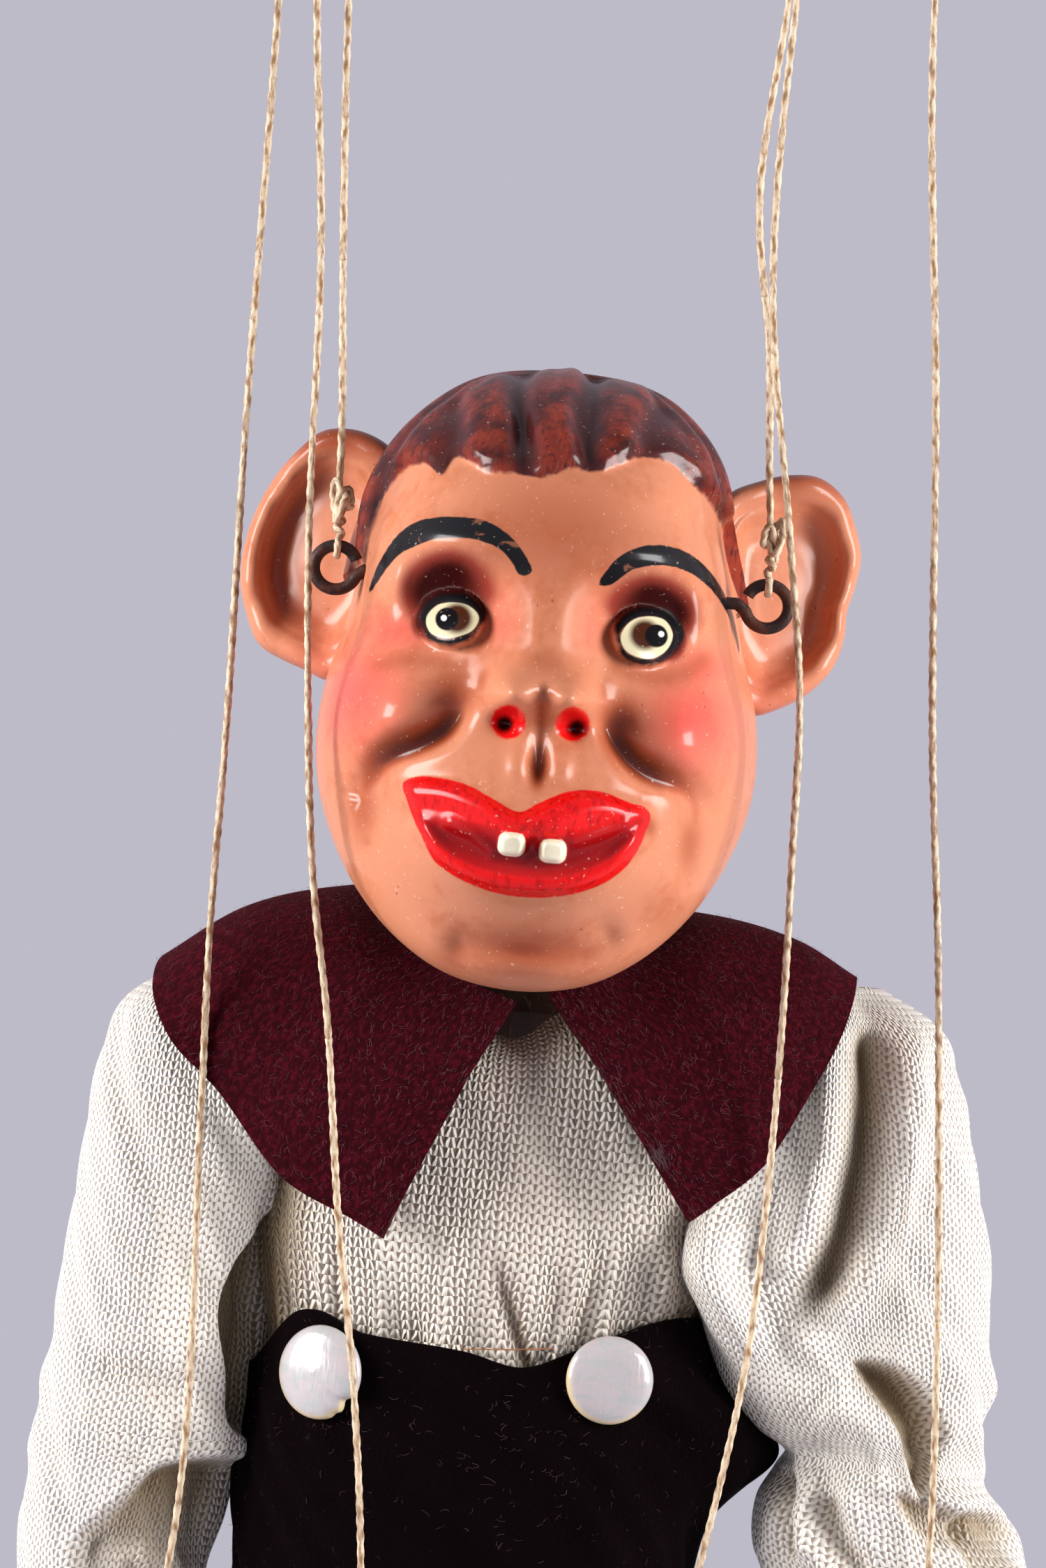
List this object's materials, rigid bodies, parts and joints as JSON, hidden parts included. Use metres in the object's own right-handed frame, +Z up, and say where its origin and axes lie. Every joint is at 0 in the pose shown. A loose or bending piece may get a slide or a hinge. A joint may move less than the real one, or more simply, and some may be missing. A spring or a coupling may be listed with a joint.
{
  "type": "marionette",
  "caption": "Hanging string marionette of a smiling boy with a moulded painted head, felt collar, knit shirt and short button-on trousers, on a wooden cross control",
  "frame": {"origin": "centre of the top face of the control's grip bar, where the hand or a hook holds it", "axes": "+Z up, the puppet faces -Y, +X to the viewer's right"},
  "size_m": [0.1285, 0.12, 0.612],
  "materials": {
    "plain_beech": "satin",
    "painted_skin": "satin",
    "cream_knit": "matte",
    "wine_felt": "matte",
    "dark_plush": "matte",
    "pearl_shell": "gloss",
    "twisted_twine": "matte",
    "brown_iron": "matte",
    "steel": "satin",
    "black_leather_paint": "gloss"
  },
  "bodies": {
    "control": {"control_grip_bar": "plain_beech", "control_string_bar": "plain_beech", "control_screw_front": "steel", "control_screw_back": "steel"},
    "torso": {"body_block": "plain_beech", "shirt_body": "cream_knit", "collar": "wine_felt", "trousers_seat": "dark_plush", "hip_pin": "steel", "button_left": "pearl_shell", "button_right": "pearl_shell", "shoulder_pin_left": "steel", "shoulder_pin_right": "steel", "head_string_left": "twisted_twine", "head_string_right": "twisted_twine", "hand_string_left": "twisted_twine", "hand_string_right": "twisted_twine", "leg_string_left": "twisted_twine", "leg_string_right": "twisted_twine"},
    "neck": {"neck_swivel": "plain_beech"},
    "head": {"head_shell": "painted_skin", "head_cross_bar": "steel", "temple_eye_left": "brown_iron", "temple_eye_right": "brown_iron"},
    "upper_arm_left": {"upper_arm_left": "plain_beech", "sleeve_upper_left": "cream_knit", "elbow_pin_left": "steel"},
    "forearm_left": {"forearm_left": "plain_beech", "sleeve_lower_left": "cream_knit", "wrist_pin_left": "steel", "wrist_eye_left": "brown_iron"},
    "hand_left": {"hand_left": "painted_skin"},
    "thigh_left": {"thigh_left": "plain_beech", "trouser_leg_left": "dark_plush", "knee_pin_left": "steel", "knee_eye_left": "brown_iron"},
    "shin_left": {"shin_left": "painted_skin", "ankle_pin_left": "steel"},
    "shoe_left": {"shoe_left": "black_leather_paint"},
    "upper_arm_right": {"upper_arm_right": "plain_beech", "sleeve_upper_right": "cream_knit", "elbow_pin_right": "steel"},
    "forearm_right": {"forearm_right": "plain_beech", "sleeve_lower_right": "cream_knit", "wrist_pin_right": "steel", "wrist_eye_right": "brown_iron"},
    "hand_right": {"hand_right": "painted_skin"},
    "thigh_right": {"thigh_right": "plain_beech", "trouser_leg_right": "dark_plush", "knee_pin_right": "steel", "knee_eye_right": "brown_iron"},
    "shin_right": {"shin_right": "painted_skin", "ankle_pin_right": "steel"},
    "shoe_right": {"shoe_right": "black_leather_paint"}
  },
  "joints": [
    {"name": "puppet_swing", "type": "hinge", "parent": "control", "child": "torso", "pos_m": [0, 0, -0.0206], "axis": [1, 0, 0], "range_deg": [-20, 20]},
    {"name": "head_turn", "type": "hinge", "parent": "torso", "child": "neck", "pos_m": [0, 0.005, -0.309], "axis": [0, 0, 1], "range_deg": [-30, 30], "deforming": ["collar", "head_string_left", "head_string_right", "leg_string_left", "leg_string_right", "hand_string_left", "hand_string_right"]},
    {"name": "head_nod", "type": "hinge", "parent": "neck", "child": "head", "pos_m": [0, 0.005, -0.294], "axis": [1, 0, 0], "range_deg": [-10, 6], "stiffness_Nm_per_rad": 0.6, "deforming": ["collar", "head_string_left", "head_string_right", "leg_string_left", "leg_string_right", "hand_string_left", "hand_string_right"]},
    {"name": "shoulder_left", "type": "hinge", "parent": "torso", "child": "upper_arm_left", "pos_m": [-0.039, 0.005, -0.326], "axis": [-0.9997, 0, 0.0262], "range_deg": [-40, 65], "deforming": ["collar", "hand_string_left", "leg_string_left", "sleeve_upper_left", "sleeve_lower_left"]},
    {"name": "elbow_left", "type": "hinge", "parent": "upper_arm_left", "child": "forearm_left", "pos_m": [-0.04036, 0.005, -0.37798], "axis": [-0.9997, 0, 0.0262], "range_deg": [0, 85], "deforming": ["hand_string_left", "sleeve_upper_left", "sleeve_lower_left"]},
    {"name": "wrist_left", "type": "hinge", "parent": "forearm_left", "child": "hand_left", "pos_m": [-0.04172, 0.005, -0.42996], "axis": [-0.9997, 0, 0.0262], "range_deg": [-35, 35]},
    {"name": "hip_left", "type": "hinge", "parent": "torso", "child": "thigh_left", "pos_m": [-0.0125, 0.005, -0.402], "axis": [-1, 0, 0], "range_deg": [-30, 75], "deforming": ["trousers_seat", "leg_string_left", "trouser_leg_left"]},
    {"name": "knee_left", "type": "hinge", "parent": "thigh_left", "child": "shin_left", "pos_m": [-0.0125, 0.005, -0.5], "axis": [1, 0, 0], "range_deg": [0, 90]},
    {"name": "ankle_left", "type": "hinge", "parent": "shin_left", "child": "shoe_left", "pos_m": [-0.0125, 0.005, -0.586], "axis": [-1, 0, 0], "range_deg": [-20, 25]},
    {"name": "shoulder_right", "type": "hinge", "parent": "torso", "child": "upper_arm_right", "pos_m": [0.039, 0.005, -0.326], "axis": [-0.9744, 0, -0.225], "range_deg": [-40, 65], "deforming": ["collar", "hand_string_right", "leg_string_right", "sleeve_upper_right", "sleeve_lower_right"]},
    {"name": "elbow_right", "type": "hinge", "parent": "upper_arm_right", "child": "forearm_right", "pos_m": [0.0507, 0.005, -0.37667], "axis": [-0.9744, 0, -0.225], "range_deg": [0, 85], "deforming": ["hand_string_right", "sleeve_upper_right", "sleeve_lower_right"]},
    {"name": "wrist_right", "type": "hinge", "parent": "forearm_right", "child": "hand_right", "pos_m": [0.06239, 0.005, -0.42733], "axis": [-0.9744, 0, -0.225], "range_deg": [-35, 35]},
    {"name": "hip_right", "type": "hinge", "parent": "torso", "child": "thigh_right", "pos_m": [0.0125, 0.005, -0.402], "axis": [-1, 0, 0], "range_deg": [-30, 75], "deforming": ["trousers_seat", "leg_string_right", "trouser_leg_right"]},
    {"name": "knee_right", "type": "hinge", "parent": "thigh_right", "child": "shin_right", "pos_m": [0.0125, 0.005, -0.5], "axis": [1, 0, 0], "range_deg": [0, 90]},
    {"name": "ankle_right", "type": "hinge", "parent": "shin_right", "child": "shoe_right", "pos_m": [0.0125, 0.005, -0.586], "axis": [-1, 0, 0], "range_deg": [-20, 25]}
  ]
}
